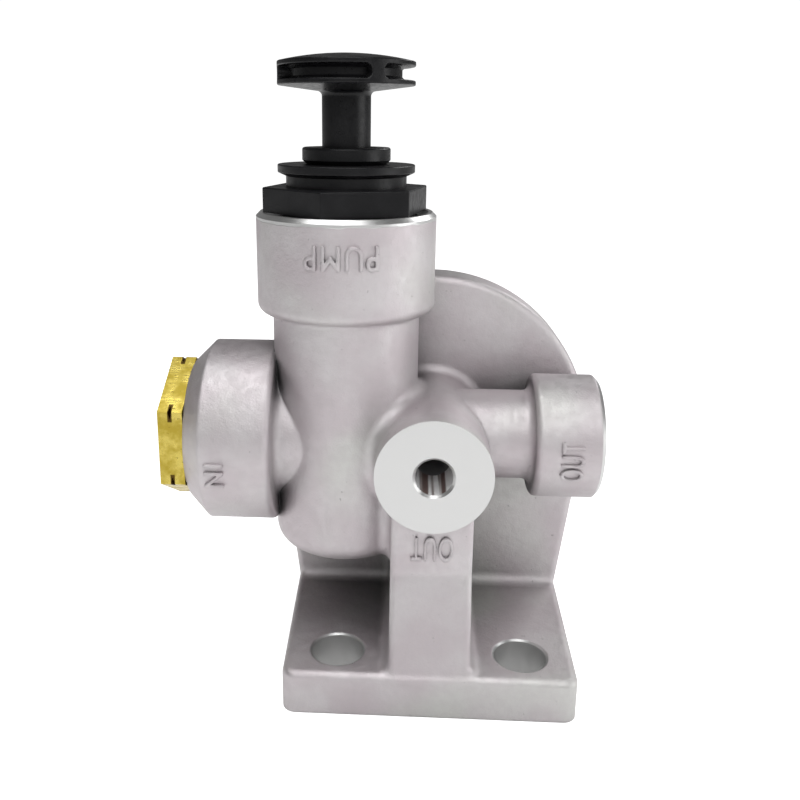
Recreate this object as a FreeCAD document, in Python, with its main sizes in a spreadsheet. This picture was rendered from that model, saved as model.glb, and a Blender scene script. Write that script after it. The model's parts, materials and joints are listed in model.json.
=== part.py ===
import FreeCAD, Part
import math
import os
import re
import Sketcher
from FreeCAD import Placement, Rotation, Vector

# Hand primer pump: a cast aluminium housing with a black plastic hand pump screwed into its
# cup and a brass inlet fitting at the left.
#
# Frame: millimetres, +Z up, +X towards the right outlet, -Y towards the front outlet.
# The origin is midway between the two foot bolts, on the underside of the base.
# The pump axis is vertical. The inlet, the gallery and the right outlet share one level axis
# that crosses it.

# Driving dimensions, one cell of the sheet each.
SIZES = {
    # Base plate
    "base_width": 72,
    "base_flare": 1.8,
    "base_front": 10.5,
    "base_thick": 11,
    "base_corner": 3.5,
    "base_edge": 1.7,
    "bolt_spacing": 46,
    "bolt_hole": 13,
    "bolt_hole_bevel": 0.4,
    # Rear wall: an arch on tapering sides
    "wall_face": 35.5,
    "wall_thick": 11,
    "wall_radius": 43,
    "wall_centre": 58,
    "wall_edge": 2,
    # Pump column and the cup on top of it
    "column_x": -22.5,
    "column_y": 22,
    "column_dia": 37,
    "column_foot": 32,
    "column_round": 5.6,
    "cup_dia": 44.5,
    "cup_foot": 94.8,
    "cup_round": 2.4,
    "cup_blend": 1.2,
    "cup_face": 119.5,
    "cup_chamfer": 1,
    "bore_dia": 23.2,
    "chamber_dia": 20,
    "chamber_top": 81,
    "chamber_floor": 48,
    "floor_cone": 3.5,
    # Level axis of inlet, gallery and right outlet
    "port_height": 62,
    "inlet_end": -61.7,
    "inlet_length": 22.2,
    "inlet_dia": 46.8,
    "inlet_taper": 5.1,
    "inlet_neck": 31.5,
    "shoulder_round": 1.5,
    "neck_fillet": 2,
    "inlet_thread": 25.4,
    "inlet_thread_depth": 15.5,
    "valve_room_dia": 16,
    "inlet_passage": 7.5,
    "outlet_end": 42,
    "outlet_length": 16.7,
    "outlet_dia": 31.8,
    "outlet_chamfer": 1,
    "outlet_neck": 23,
    "outlet_thread": 12.5,
    "outlet_depth": 14,
    "gallery_dia": 11,
    "gallery_end": -9.3,
    "outlet_passage": 6,
    # Front outlet boss and the rib that carries it
    "front_height": 60.5,
    "front_face": -5,
    "front_dia": 28.2,
    "front_bore": 9,
    "front_depth": 22.5,
    "port_bevel": 0.6,
    "rib_width": 20,
    "rib_inset": 0.4,
    "rib_face": -2.5,
    "rib_bend": 34,
    "rib_edge": 1.5,
    # Rounding where the forms of the casting meet
    "foot_fillet": 3,
    "boss_fillet": 2.5,
    "web_fillet": 2.5,
    "bend_round": 3,
    # Plastic barrel
    "hexagon_flats": 36,
    "hexagon_height": 6,
    "hexagon_turn": 42,
    "hexagon_edge": 0.4,
    "spigot_dia": 28.2,
    "spigot_length": 14,
    "tube_dia": 22,
    "tube_foot": 83,
    "barrel_bore": 18,
    "lip_bore": 12.6,
    "lip_thick": 2,
    "mouth_dia": 21,
    "mouth_depth": 8,
    # Gland cap
    "flange_dia": 33.5,
    "flange_thick": 1.9,
    "flange_taper": 0.9,
    "flange_top": 5.3,
    "groove_dia": 29.5,
    "collar_dia": 21.5,
    "collar_height": 4,
    "collar_bevel": 1,
    "collar_round": 0.6,
    "moulded_edge": 0.3,
    "wiper_depth": 2.2,
    "wiper_dia": 15.8,
    # Knob and plunger
    "stem_dia": 11.8,
    "knob_dia": 33,
    "knob_lift": 14.3,
    "knob_cone": 1.4,
    "stem_fillet": 1.2,
    "rim_height": 5.4,
    "dome_height": 1.9,
    "slot_height": 3.2,
    "slot_depth": 3.2,
    "slot_round": 1.4,
    "slot_rib": 11,
    "slot_count": 3,
    "knob_turn": 120,
    "rod_dia": 6,
    "rod_grip": 20,
    "piston_height": 6,
    "washer_dia": 11,
    "washer_thick": 1.2,
    "nut_flats": 10,
    "nut_height": 5,
    "rod_end": 1,
    "cup_plate": 1,
    "cup_skirt": 2.5,
    "spring_wire": 1.2,
    "spring_coil": 14.4,
    "spring_turns": 7,
    # Brass inlet fitting
    "brass_flats": 33,
    "brass_height": 6.2,
    "brass_spigot": 13.5,
    "notch_depth": 1,
    "notch_width": 1,
    "inlet_port": 14.5,
    "inlet_port_depth": 12,
    "seat_bore": 8,
    # Check valves
    "disc_thick": 2,
    "inlet_disc": 14,
    "outlet_disc": 10,
    "valve_wire": 0.6,
    "inlet_coil": 10,
    "outlet_coil": 6.8,
    "valve_turns": 4,
    "valve_stop": 6,
    "stop_thick": 3,
    "stop_bore": 5.4,
    # Seals
    "seal_wire": 1.8,
    "rod_seal_wire": 1.7,
    "piston_seal_wire": 1.6,
    # Clearances
    "running": 0.05,
    "thread_gap": 0.05,
    "rod_gap": 0.02,
    "stop_gap": 0.1,
    "thread_relief": 1,
    # How far each bore's form runs out into the open
    "tool_run": 2,
}

# Points nearer than this count as the same place.
TOUCH = 0.01
# Edges longer than this are sides of a form, not its thickness or its rounding.
LONG_EDGE = 5
# A new sketch's corners start on this ring, before its dimensions place them.
START_RING = {"centre": 50, "radius": 10}
# The wall's sides start at this lean, in degrees, before tangency sets it.
START_LEAN = 8

NAMES = re.compile(r"\b(" + "|".join(sorted(SIZES, key=len, reverse=True)) + r")\b")

# Heights and lengths that several pieces share, as formulas of the cells.
HEXAGON_TOP = "(cup_face + hexagon_height)"
GLAND_FOOT = f"({HEXAGON_TOP} - mouth_depth)"
COLLAR_TOP = f"({HEXAGON_TOP} + flange_top + collar_height)"
KNOB_FOOT = f"({COLLAR_TOP} + knob_lift)"
PISTON_TOP = f"({GLAND_FOOT} - stop_gap)"
PISTON_FOOT = f"({PISTON_TOP} - piston_height)"
NUT_TOP = f"({PISTON_FOOT} - washer_thick)"
NUT_FOOT = f"({NUT_TOP} - nut_height)"
LIP_TOP = "(tube_foot + lip_thick)"
# An O-ring lies in a 45 degree bevel round its spigot, just filling the corner.
BEVEL_REACH = "(seal_wire * (1 + sqrt(2) / 2))"
SEAT_PLANE = "(inlet_end + brass_spigot)"
ROOM_END = "(inlet_end + inlet_length)"

doc = FreeCAD.newDocument("hand_primer_pump")


def bound(text):
    """The formula with each size name pointing at its cell."""
    return NAMES.sub(r"Sizes.\1", text)


def make_sheet():
    sheet = doc.addObject("Spreadsheet::Sheet", "Sizes")
    for row, (name, value) in enumerate(SIZES.items(), start=1):
        sheet.set(f"A{row}", name)
        sheet.set(f"B{row}", str(value))
        sheet.setAlias(f"B{row}", name)
    doc.recompute()
    return sheet


def make_body(label, x="0", y="0", z="0", turn=0):
    """An empty body whose own origin stands at (x, y, z)."""
    body = doc.addObject("PartDesign::Body", label + "_body")
    body.Label = label
    body.Placement = Placement(Vector(), Rotation(Vector(0, 0, 1), turn))
    for axis, text in zip("xyz", (x, y, z)):
        body.setExpression(f"Placement.Base.{axis}", bound(text))
    return body


def make_sketch(body, name, plane, offset=None):
    """A sketch on one of the body's origin planes, moved along the plane's normal."""
    sketch = body.newObject("Sketcher::SketchObject", name)
    origin_plane = [f for f in body.Origin.OriginFeatures if f.Role == plane][0]
    sketch.AttachmentSupport = [(origin_plane, "")]
    sketch.MapMode = "FlatFace"
    for axis, text in (offset or {}).items():
        sketch.setExpression(f"AttachmentOffset.Base.{axis}", bound(text))
    return sketch


def pin_point(sketch, geometry, end, name, x, y):
    """Holds one end of a line or arc at (x, y), both given as formulas."""
    here = sketch.getPoint(geometry, end)
    for kind, letter, value, text in (("DistanceX", "x", here.x, x), ("DistanceY", "y", here.y, y)):
        index = sketch.addConstraint(Sketcher.Constraint(kind, -1, 1, geometry, end, value))
        sketch.renameConstraint(index, letter + name)
        sketch.setExpression(f"Constraints.{letter}{name}", bound(text))


def draw_outline(sketch, corners):
    """A closed outline through the corners, each a pair of formulas."""
    count = len(corners)
    start = sketch.GeometryCount
    centre, radius = START_RING["centre"], START_RING["radius"]
    turns = [2 * math.pi * k / count for k in range(count)]
    ring = [Vector(centre + radius * math.cos(turn), radius * math.sin(turn), 0) for turn in turns]
    for k in range(count):
        sketch.addGeometry(Part.LineSegment(ring[k], ring[(k + 1) % count]), False)
    for k in range(count):
        after = (k + 1) % count
        sketch.addConstraint(Sketcher.Constraint("Coincident", start + k, 2, start + after, 1))
    for k, (x, y) in enumerate(corners):
        pin_point(sketch, start + k, 1, f"{start}_{k}", x, y)


def draw_circle(sketch, x, y, radius):
    index = sketch.addGeometry(Part.Circle(Vector(0, 0, 0), Vector(0, 0, 1), 1), False)
    pin_point(sketch, index, 3, f"c{index}", x, y)
    constraint = sketch.addConstraint(Sketcher.Constraint("Radius", index, 1.0))
    sketch.renameConstraint(constraint, f"r{index}")
    sketch.setExpression(f"Constraints.r{index}", bound(radius))


def hexagon_corners(flats, turn="0"):
    """The six corners of a hexagon across the given flats, the first one turned by an angle."""
    reach = f"{flats} / 2 / cos(30)"
    return [
        (f"{reach} * cos({60 * k} + {turn})", f"{reach} * sin({60 * k} + {turn})")
        for k in range(6)
    ]


def revolve(body, name, corners, axis="V_Axis", cut=False, offset=None, angle=None):
    """Turns an outline about the upright (V) or level (H) axis of the XZ plane."""
    sketch = make_sketch(body, name + "_outline", "XZ_Plane", offset)
    draw_outline(sketch, corners)
    kind = "PartDesign::Groove" if cut else "PartDesign::Revolution"
    feature = body.newObject(kind, name)
    feature.Profile = sketch
    feature.ReferenceAxis = (sketch, [axis])
    feature.Angle = 360
    if angle:
        feature.Midplane = True
        feature.setExpression("Angle", bound(angle))
    doc.recompute()
    return feature


def pad(body, name, sketch, length, back=False):
    feature = body.newObject("PartDesign::Pad", name)
    feature.Profile = sketch
    feature.Reversed = back
    feature.setExpression("Length", bound(length))
    doc.recompute()
    return feature


def turned_piece(label, corners, x="column_x", y="column_y", z="0", axis="V_Axis"):
    """A piece made by one revolution."""
    body = make_body(label, x, y, z)
    revolve(body, label + "_turning", corners, axis)
    return body


def make_torus(label, radius, wire, x, y, z, level=False):
    """An O-ring: upright axis, or along X when level."""
    ring = doc.addObject("Part::Torus", label + "_ring")
    ring.Label = label
    ring.setExpression("Radius1", bound(radius))
    ring.setExpression("Radius2", bound(f"{wire} / 2"))
    if level:
        ring.Placement = Placement(Vector(), Rotation(Vector(0, 1, 0), 90))
    for axis, text in zip("xyz", (x, y, z)):
        ring.setExpression(f"Placement.Base.{axis}", bound(text))
    return ring


def make_spring(label, coil, wire, turns, length, x, y, z, level=False):
    """A coil spring of constant pitch. Half rings, tipped to and fro, follow its guide line."""
    guide = doc.addObject("Part::Helix", label + "_guide")
    guide.setExpression("Radius", bound(f"{coil} / 2"))
    guide.setExpression("Height", bound(f"{length} - {wire}"))
    guide.setExpression("Pitch", bound(f"({length} - {wire}) / {turns}"))
    guide.Placement = Placement(Vector(), Rotation(Vector(0, 1, 0), 90 if level else 0))
    for axis, text in zip("xyz", (x, y, z)):
        guide.setExpression(f"Placement.Base.{axis}", bound(text))
    doc.recompute()
    radius, rise = guide.Radius.Value, guide.Pitch.Value / 2
    halves = []
    for k in range(round(guide.Height.Value / rise)):
        side = 1 if k % 2 == 0 else -1
        start = Vector(side * radius, 0, k * rise)
        middle = Vector(0, side * math.hypot(radius, rise / 2), (k + 0.5) * rise)
        end = Vector(-side * radius, 0, (k + 1) * rise)
        halves.append(Part.Arc(start, middle, end).toShape())
    section = Part.makeCircle(SIZES[wire] / 2, Vector(radius, 0, 0), Vector(0, 1, 0))
    spring = doc.addObject("Part::Feature", label + "_coil")
    spring.Label = label
    spring.Shape = Part.Wire(halves).makePipeShell([Part.Wire([section])], True, True)
    spring.Placement = guide.Placement
    return spring


def edges_where(shape, test):
    """Names of the edges that pass the test. Edges shrunk to a point are left out."""
    numbered = enumerate(shape.Edges, start=1)
    return [f"Edge{number}" for number, edge in numbered if not edge.Degenerated and test(edge)]


def same(value, target):
    return abs(value - target) < TOUCH


def circle_edges(shape, radius, x=None, z=None):
    """Edges that are circles of this radius, at this x or z."""
    def test(edge):
        curve = edge.Curve
        if not isinstance(curve, Part.Circle) or not same(curve.Radius, radius):
            return False
        at_x = x is None or same(curve.Center.x, x)
        return at_x and (z is None or same(curve.Center.z, z))
    return edges_where(shape, test)


def top_circle(shape, radius):
    """The highest of the edges that are circles of this radius."""
    names = circle_edges(shape, radius)
    return [max(names, key=lambda name: shape.getElement(name).BoundBox.ZMax)]


def round_edges(body, name, edges, size):
    """Rounds edges of the body's newest feature."""
    newest = body.Tip
    feature = body.newObject("PartDesign::Fillet", name)
    feature.Base = (newest, edges)
    feature.setExpression("Radius", bound(size))
    doc.recompute()
    return feature


# Housing: one casting. Its forms are shaped one by one, then joined and drilled.


def shape_base():
    """The plate: a little wider at the back, with round front corners and a round top edge."""
    body = make_body("base_form")
    sketch = make_sketch(body, "base_outline", "XY_Plane")
    front, back = "-base_front", "wall_face + wall_thick"
    draw_outline(sketch, [
        ("-base_width / 2", front), ("base_width / 2", front),
        ("base_width / 2 + base_flare", back), ("-base_width / 2 - base_flare", back),
    ])
    plate = pad(body, "base_plate", sketch, "base_thick")
    front_y, top = -SIZES["base_front"], SIZES["base_thick"]
    back_y = SIZES["wall_face"] + SIZES["wall_thick"]

    def front_corner(edge):
        box = edge.BoundBox
        return box.ZLength > TOUCH and box.YMax < front_y + TOUCH

    def top_rim(edge):
        box = edge.BoundBox
        return box.ZMin > top - TOUCH and box.YMin < back_y - TOUCH

    corners = round_edges(body, "base_corners", edges_where(plate.Shape, front_corner), "base_corner")
    round_edges(body, "base_rim", edges_where(corners.Shape, top_rim), "base_edge")
    return body


def shape_wall():
    """The rear wall: a half round top on sides that lean in towards the base."""
    body = make_body("wall_form")
    sketch = make_sketch(body, "wall_outline", "XZ_Plane", {"z": "-wall_face"})
    radius, centre = SIZES["wall_radius"], SIZES["wall_centre"]
    foot, lean = SIZES["base_width"] / 2, math.radians(START_LEAN)
    circle = Part.Circle(Vector(0, centre, 0), Vector(0, 0, 1), radius)
    arch = sketch.addGeometry(Part.ArcOfCircle(circle, -lean, math.pi + lean), False)
    tip = Vector(radius * math.cos(lean), centre - radius * math.sin(lean), 0)
    right = sketch.addGeometry(Part.LineSegment(Vector(foot, 0, 0), tip), False)
    left = sketch.addGeometry(Part.LineSegment(Vector(-tip.x, tip.y, 0), Vector(-foot, 0, 0)), False)
    floor = sketch.addGeometry(Part.LineSegment(Vector(-foot, 0, 0), Vector(foot, 0, 0)), False)
    sketch.addConstraint(Sketcher.Constraint("Tangent", right, 2, arch, 1))
    sketch.addConstraint(Sketcher.Constraint("Tangent", left, 1, arch, 2))
    sketch.addConstraint(Sketcher.Constraint("Coincident", left, 2, floor, 1))
    sketch.addConstraint(Sketcher.Constraint("Coincident", floor, 2, right, 1))
    pin_point(sketch, arch, 3, "arch", "0", "wall_centre")
    size = sketch.addConstraint(Sketcher.Constraint("Radius", arch, radius))
    sketch.renameConstraint(size, "arch_radius")
    sketch.setExpression("Constraints.arch_radius", bound("wall_radius"))
    pin_point(sketch, right, 1, "foot_right", "base_width / 2", "0")
    pin_point(sketch, left, 2, "foot_left", "-base_width / 2", "0")
    doc.recompute()
    wall = pad(body, "rear_wall", sketch, "wall_thick", back=True)

    def front_rim(edge):
        box = edge.BoundBox
        return box.YMax < SIZES["wall_face"] + TOUCH and box.ZLength > LONG_EDGE

    round_edges(body, "wall_rim", edges_where(wall.Shape, front_rim), "wall_edge")
    return body


def shape_column():
    """Closed column with a rounded foot, and the wider cup on top with a turned rim."""
    side, rim = "column_dia / 2", "cup_dia / 2"
    body = make_body("column_form", "column_x", "column_y")
    turned = revolve(body, "column", [
        ("0", "column_foot"), (side, "column_foot"), (side, "cup_foot"), (rim, "cup_foot"),
        (rim, "cup_face - cup_chamfer"), (f"{rim} - cup_chamfer", "cup_face"), ("0", "cup_face"),
    ])
    column, cup = SIZES["column_dia"] / 2, SIZES["cup_dia"] / 2
    foot = circle_edges(turned.Shape, column, z=SIZES["column_foot"])
    rounded = round_edges(body, "column_round", foot, "column_round")
    under = circle_edges(rounded.Shape, cup, z=SIZES["cup_foot"])
    rounded = round_edges(body, "cup_round", under, "cup_round")
    inner = circle_edges(rounded.Shape, column, z=SIZES["cup_foot"])
    round_edges(body, "cup_blend", inner, "cup_blend")
    return body


def shape_inlet():
    """Inlet boss: a long bevel at the mouth, a round shoulder and a neck into the column."""
    outer, taper, neck = "inlet_dia / 2", "inlet_taper", "inlet_neck / 2"
    body = make_body("inlet_form", "0", "column_y", "port_height")
    turned = revolve(body, "inlet_boss", [
        ("inlet_end", "0"), ("inlet_end", f"{outer} - {taper}"), (f"inlet_end + {taper}", outer),
        (ROOM_END, outer), (ROOM_END, neck), ("column_x", neck), ("column_x", "0"),
    ], "H_Axis")
    end = SIZES["inlet_end"] + SIZES["inlet_length"]
    shoulder = circle_edges(turned.Shape, SIZES["inlet_dia"] / 2, x=end)
    rounded = round_edges(body, "inlet_shoulder", shoulder, "shoulder_round")
    inner = circle_edges(rounded.Shape, SIZES["inlet_neck"] / 2, x=end)
    round_edges(body, "inlet_blend", inner, "neck_fillet")
    return body


def shape_outlet():
    """Right outlet boss on its narrower neck, which starts inside the front boss."""
    outer, small = "outlet_dia / 2", "outlet_neck / 2"
    start = "outlet_end - outlet_length"
    body = make_body("outlet_form", "0", "column_y", "port_height")
    turned = revolve(body, "outlet_boss", [
        ("0", "0"), ("0", small), (start, small), (start, outer),
        ("outlet_end - outlet_chamfer", outer), ("outlet_end", f"{outer} - outlet_chamfer"), ("outlet_end", "0"),
    ], "H_Axis")
    begin = SIZES["outlet_end"] - SIZES["outlet_length"]
    shoulder = circle_edges(turned.Shape, SIZES["outlet_dia"] / 2, x=begin)
    rounded = round_edges(body, "outlet_shoulder", shoulder, "shoulder_round")
    inner = circle_edges(rounded.Shape, SIZES["outlet_neck"] / 2, x=begin)
    round_edges(body, "outlet_blend", inner, "neck_fillet")
    return body


def shape_rib():
    """The rib under the front boss: leans back to the bend, then stands upright to the boss."""
    body = make_body("rib_form")
    back = "wall_face + wall_edge"
    sketch = make_sketch(body, "rib_outline", "YZ_Plane", {"z": "-rib_width / 2"})
    draw_outline(sketch, [
        ("rib_inset - base_front", "base_thick - base_edge"), ("rib_face", "rib_bend"), ("rib_face", "front_height"),
        (back, "front_height"), (back, "base_thick - base_edge"),
    ])
    rib = pad(body, "rib", sketch, "rib_width")

    def front_edges(edge):
        box = edge.BoundBox
        on_side = box.XLength < TOUCH and box.ZLength > LONG_EDGE
        return on_side and box.YMax < SIZES["rib_face"] + TOUCH

    round_edges(body, "rib_rim", edges_where(rib.Shape, front_edges), "rib_edge")
    return body


def shape_front():
    """Front outlet boss, from its machined face back into the wall."""
    body = make_body("front_form")
    sketch = make_sketch(body, "front_boss_outline", "XZ_Plane", {"z": "-front_face"})
    draw_circle(sketch, "0", "front_height", "front_dia / 2")
    pad(body, "front_boss", sketch, "wall_face + wall_edge - front_face", back=True)
    return body


def bore_pump():
    """Bore and thread for the barrel, with the bevel that holds its O-ring."""
    bevel = f"(spigot_dia / 2 + {BEVEL_REACH} * 2)"
    thread = "(spigot_dia / 2 + thread_gap)"
    depth = "cup_face - spigot_length - thread_relief"
    return turned_piece("pump_bore_form", [
        ("0", "chamber_floor - floor_cone"), ("chamber_dia / 2", "chamber_floor"),
        ("chamber_dia / 2", "chamber_top"), ("bore_dia / 2", "chamber_top"),
        ("bore_dia / 2", depth), (thread, depth),
        (thread, f"cup_face - ({bevel} - {thread})"), (bevel, "cup_face"),
        (bevel, "cup_face + tool_run"), ("0", "cup_face + tool_run"),
    ])


def bore_inlet():
    """Thread bore with its O-ring bevel, valve room and passage to the pump chamber."""
    mouth = f"(inlet_thread / 2 + {BEVEL_REACH} * 2)"
    screw = "(inlet_thread / 2 + thread_gap)"
    room = "inlet_end + inlet_thread_depth"
    return turned_piece("inlet_bore_form", [
        ("inlet_end - tool_run", "0"), ("inlet_end - tool_run", mouth), ("inlet_end", mouth),
        (f"inlet_end + {mouth} - {screw}", screw), (room, screw), (room, "valve_room_dia / 2"),
        (ROOM_END, "valve_room_dia / 2"), (ROOM_END, "inlet_passage / 2"),
        ("column_x", "inlet_passage / 2"), ("column_x", "0"),
    ], "0", "column_y", "port_height", "H_Axis")


def bore_gallery():
    """Right port, the gallery behind it and the outlet valve seat at its inner end."""
    port = "outlet_end - outlet_depth"
    return turned_piece("gallery_form", [
        ("outlet_end + tool_run", "0"), ("outlet_end + tool_run", "outlet_thread / 2 + outlet_chamfer"),
        ("outlet_end", "outlet_thread / 2 + outlet_chamfer"),
        ("outlet_end - outlet_chamfer", "outlet_thread / 2"), (port, "outlet_thread / 2"),
        (port, "gallery_dia / 2"), ("gallery_end", "gallery_dia / 2"),
        ("gallery_end", "outlet_passage / 2"), ("column_x", "outlet_passage / 2"), ("column_x", "0"),
    ], "0", "column_y", "port_height", "H_Axis")


def bore_front():
    """Front port: a bevelled mouth and a plain bore that ends in the gallery, short of its spring."""
    body = make_body("front_bore_form", "0", "0", "front_height")
    mouth, end = "front_bore / 2 + port_bevel", "front_face + front_depth"
    sketch = make_sketch(body, "front_bore_outline", "YZ_Plane")
    draw_outline(sketch, [
        ("front_face - tool_run", "0"), ("front_face - tool_run", mouth), ("front_face", mouth),
        ("front_face + port_bevel", "front_bore / 2"), (end, "front_bore / 2"), (end, "0"),
    ])
    feature = body.newObject("PartDesign::Revolution", "front_bore_turning")
    feature.Profile = sketch
    feature.ReferenceAxis = (sketch, ["H_Axis"])
    feature.Angle = 360
    doc.recompute()
    return body


def bore_bolt(side, name):
    """One bolt hole through the base, with a slight bevel at its upper mouth."""
    hole, bevel = "bolt_hole / 2", "bolt_hole_bevel"
    return turned_piece(name, [
        ("0", "-tool_run"), (hole, "-tool_run"), (hole, f"base_thick - {bevel}"),
        (f"{hole} + {bevel}", "base_thick"), (f"{hole} + {bevel}", "base_thick + tool_run"),
        ("0", "base_thick + tool_run"),
    ], f"{side} * bolt_spacing / 2", "0")


def junction_fillets(shape):
    """Numbers of the edges where the joined forms meet that the casting rounds, with each radius."""
    half_rib, top, wall = SIZES["rib_width"] / 2, SIZES["base_thick"], SIZES["wall_face"]
    boss_height, column_radius = SIZES["front_height"], SIZES["column_dia"] / 2

    def from_column(point):
        return math.hypot(point.x - SIZES["column_x"], point.y - SIZES["column_y"])

    def is_foot(edge, point):
        """The rib and the wall on the base, and the rib on the wall."""
        if not isinstance(edge.Curve, Part.Line) or edge.Length < LONG_EDGE:
            return False
        on_rib, on_wall = same(abs(point.x), half_rib), same(point.y, wall)
        if same(point.z, top):
            return on_rib or on_wall
        return on_rib and on_wall and point.z > top

    def is_boss(edge, point):
        """The front boss on the column and on the wall."""
        on_boss = same(math.hypot(point.x, point.z - boss_height), SIZES["front_dia"] / 2)
        return on_boss and (same(from_column(point), column_radius) or same(point.y, wall))

    def is_web(edge, point):
        """The rib's left side on the column and its rounded foot."""
        on_side = same(point.x, -half_rib) and point.y < wall - TOUCH
        under = SIZES["column_foot"] - TOUCH < point.z < boss_height
        return on_side and under and from_column(point) < column_radius + TOUCH

    def is_bend(edge, point):
        """The rib's front, where its lean ends."""
        on_front = point.y < SIZES["rib_face"] + SIZES["rib_edge"]
        return on_front and abs(point.z - SIZES["rib_bend"]) < SIZES["rib_edge"] / 2

    rules = (
        (is_foot, "foot_fillet"), (is_boss, "boss_fillet"), (is_web, "web_fillet"), (is_bend, "bend_round"),
    )
    chosen = []
    for number, edge in enumerate(shape.Edges, start=1):
        point = edge.valueAt((edge.FirstParameter + edge.LastParameter) / 2)
        radius = next((SIZES[size] for rule, size in rules if rule(edge, point)), None)
        if radius:
            chosen.append((number, radius, radius))
    return chosen


def make_housing():
    forms = [
        shape_base(), shape_wall(), shape_column(), shape_inlet(),
        shape_outlet(), shape_rib(), shape_front(),
    ]
    bores = [
        bore_pump(), bore_inlet(), bore_gallery(), bore_front(),
        bore_bolt(-1, "left_bolt_form"), bore_bolt(1, "right_bolt_form"),
    ]
    casting = doc.addObject("Part::MultiFuse", "casting")
    casting.Shapes = forms
    casting.Refine = False
    doc.recompute()
    rounded = doc.addObject("Part::Fillet", "rounded_casting")
    rounded.Base = casting
    rounded.Edges = junction_fillets(casting.Shape)
    tools = doc.addObject("Part::MultiFuse", "drillings")
    tools.Shapes = bores
    drilled = doc.addObject("Part::Cut", "drilled_casting")
    drilled.Base = rounded
    drilled.Tool = tools
    drilled.Refine = False
    drilled.Label = "housing"
    doc.recompute()
    return drilled


# Plastic hand pump


def add_hexagon(body, name, plane, flats, height, turn="0", offset=None, back=False):
    sketch = make_sketch(body, name + "_outline", plane, offset)
    draw_outline(sketch, hexagon_corners(flats, turn))
    return pad(body, name, sketch, height, back)


def make_barrel():
    """Hexagon, threaded spigot and barrel tube in one moulding, with a lip for the spring."""
    body = make_body("pump_barrel", "column_x", "column_y")
    revolve(body, "barrel_outside", [
        ("0", "tube_foot"), ("tube_dia / 2", "tube_foot"), ("tube_dia / 2", "cup_face - spigot_length"),
        ("spigot_dia / 2", "cup_face - spigot_length"), ("spigot_dia / 2", "cup_face"), ("0", "cup_face"),
    ])
    hexagon = add_hexagon(
        body, "hexagon", "XY_Plane", "hexagon_flats", "hexagon_height", "-hexagon_turn", {"z": "cup_face"}
    )

    def above_cup(edge):
        return isinstance(edge.Curve, Part.Line) and edge.BoundBox.ZMax > SIZES["cup_face"] + TOUCH

    round_edges(body, "hexagon_rim", edges_where(hexagon.Shape, above_cup), "hexagon_edge")
    bore, lip, mouth = "barrel_bore / 2", "lip_bore / 2", "mouth_dia / 2"
    step = f"{GLAND_FOOT} - running"
    revolve(body, "barrel_inside", [
        ("0", "tube_foot - tool_run"), (lip, "tube_foot - tool_run"), (lip, LIP_TOP), (bore, LIP_TOP),
        (bore, step), (mouth, step), (mouth, HEXAGON_TOP), ("0", HEXAGON_TOP),
    ], cut=True)
    return body


def make_gland():
    """Flange disc on a groove, and the collar round the stem, with its seal groove and wiper seat."""
    stem = "(stem_dia / 2 + running)"
    seal = f"({stem} + rod_seal_wire)"
    middle = f"({GLAND_FOOT} + mouth_depth / 2)"
    wide = "(rod_seal_wire / 2 + running)"
    flange, groove, collar = "flange_dia / 2", "groove_dia / 2", "collar_dia / 2"
    top = f"({HEXAGON_TOP} + flange_top)"
    low = f"({top} - flange_thick)"
    body = turned_piece("gland_cap", [
        (stem, GLAND_FOOT), ("mouth_dia / 2 - running", GLAND_FOOT), ("mouth_dia / 2 - running", HEXAGON_TOP),
        (groove, HEXAGON_TOP), (groove, f"{low} - flange_taper"), (flange, low), (flange, top),
        (f"{collar} - collar_bevel", top), (collar, f"{top} + collar_bevel"), (collar, COLLAR_TOP),
        ("wiper_dia / 2", COLLAR_TOP), ("wiper_dia / 2", f"{COLLAR_TOP} - wiper_depth"),
        (stem, f"{COLLAR_TOP} - wiper_depth"), (stem, f"{middle} + {wide}"), (seal, f"{middle} + {wide}"),
        (seal, f"{middle} - {wide}"), (stem, f"{middle} - {wide}"),
    ])
    rim = circle_edges(body.Shape, SIZES["flange_dia"] / 2)
    rounded = round_edges(body, "flange_rim", rim, "moulded_edge")
    mouth = top_circle(rounded.Shape, SIZES["collar_dia"] / 2)
    round_edges(body, "collar_rim", mouth, "collar_round")
    return body


def make_wiper():
    """Rubber wiper in the collar's mouth, with a lip that leans up to the stem."""
    inner = "(stem_dia / 2 + rod_gap)"
    foot = f"{COLLAR_TOP} - wiper_depth"
    return turned_piece("wiper_ring", [
        (f"{inner} + wiper_depth / 4", foot), ("wiper_dia / 2", foot), ("wiper_dia / 2", COLLAR_TOP),
        (f"{inner} + wiper_depth / 2", COLLAR_TOP), (f"{inner} + wiper_depth / 4", f"{COLLAR_TOP} - wiper_depth / 4"),
        (inner, f"{COLLAR_TOP} - wiper_depth / 8"), (inner, f"{COLLAR_TOP} - wiper_depth / 3"),
    ])


def make_knob():
    """Mushroom head with a slot round its rim, crossed by ribs, on a smooth hollow stem."""
    body = make_body("knob", "column_x", "column_y", turn=SIZES["knob_turn"])
    stem, rod, rim = "stem_dia / 2", "(rod_dia / 2 + rod_gap)", "knob_dia / 2"
    sketch = make_sketch(body, "knob_outline", "XZ_Plane")
    draw_outline(sketch, [
        ("0", f"{PISTON_TOP} + rod_grip"), (rod, f"{PISTON_TOP} + rod_grip"), (rod, PISTON_TOP),
        (stem, PISTON_TOP), (stem, f"{KNOB_FOOT} - knob_cone"), (rim, KNOB_FOOT),
        (rim, f"{KNOB_FOOT} + rim_height"), ("0", f"{KNOB_FOOT} + rim_height"),
    ])
    head = body.newObject("PartDesign::Revolution", "knob_turning")
    head.Profile = sketch
    head.ReferenceAxis = (sketch, ["V_Axis"])
    head.Angle = 360
    doc.recompute()
    add_dome(body)
    cut_slots(body)
    round_knob(body)
    return body


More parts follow.
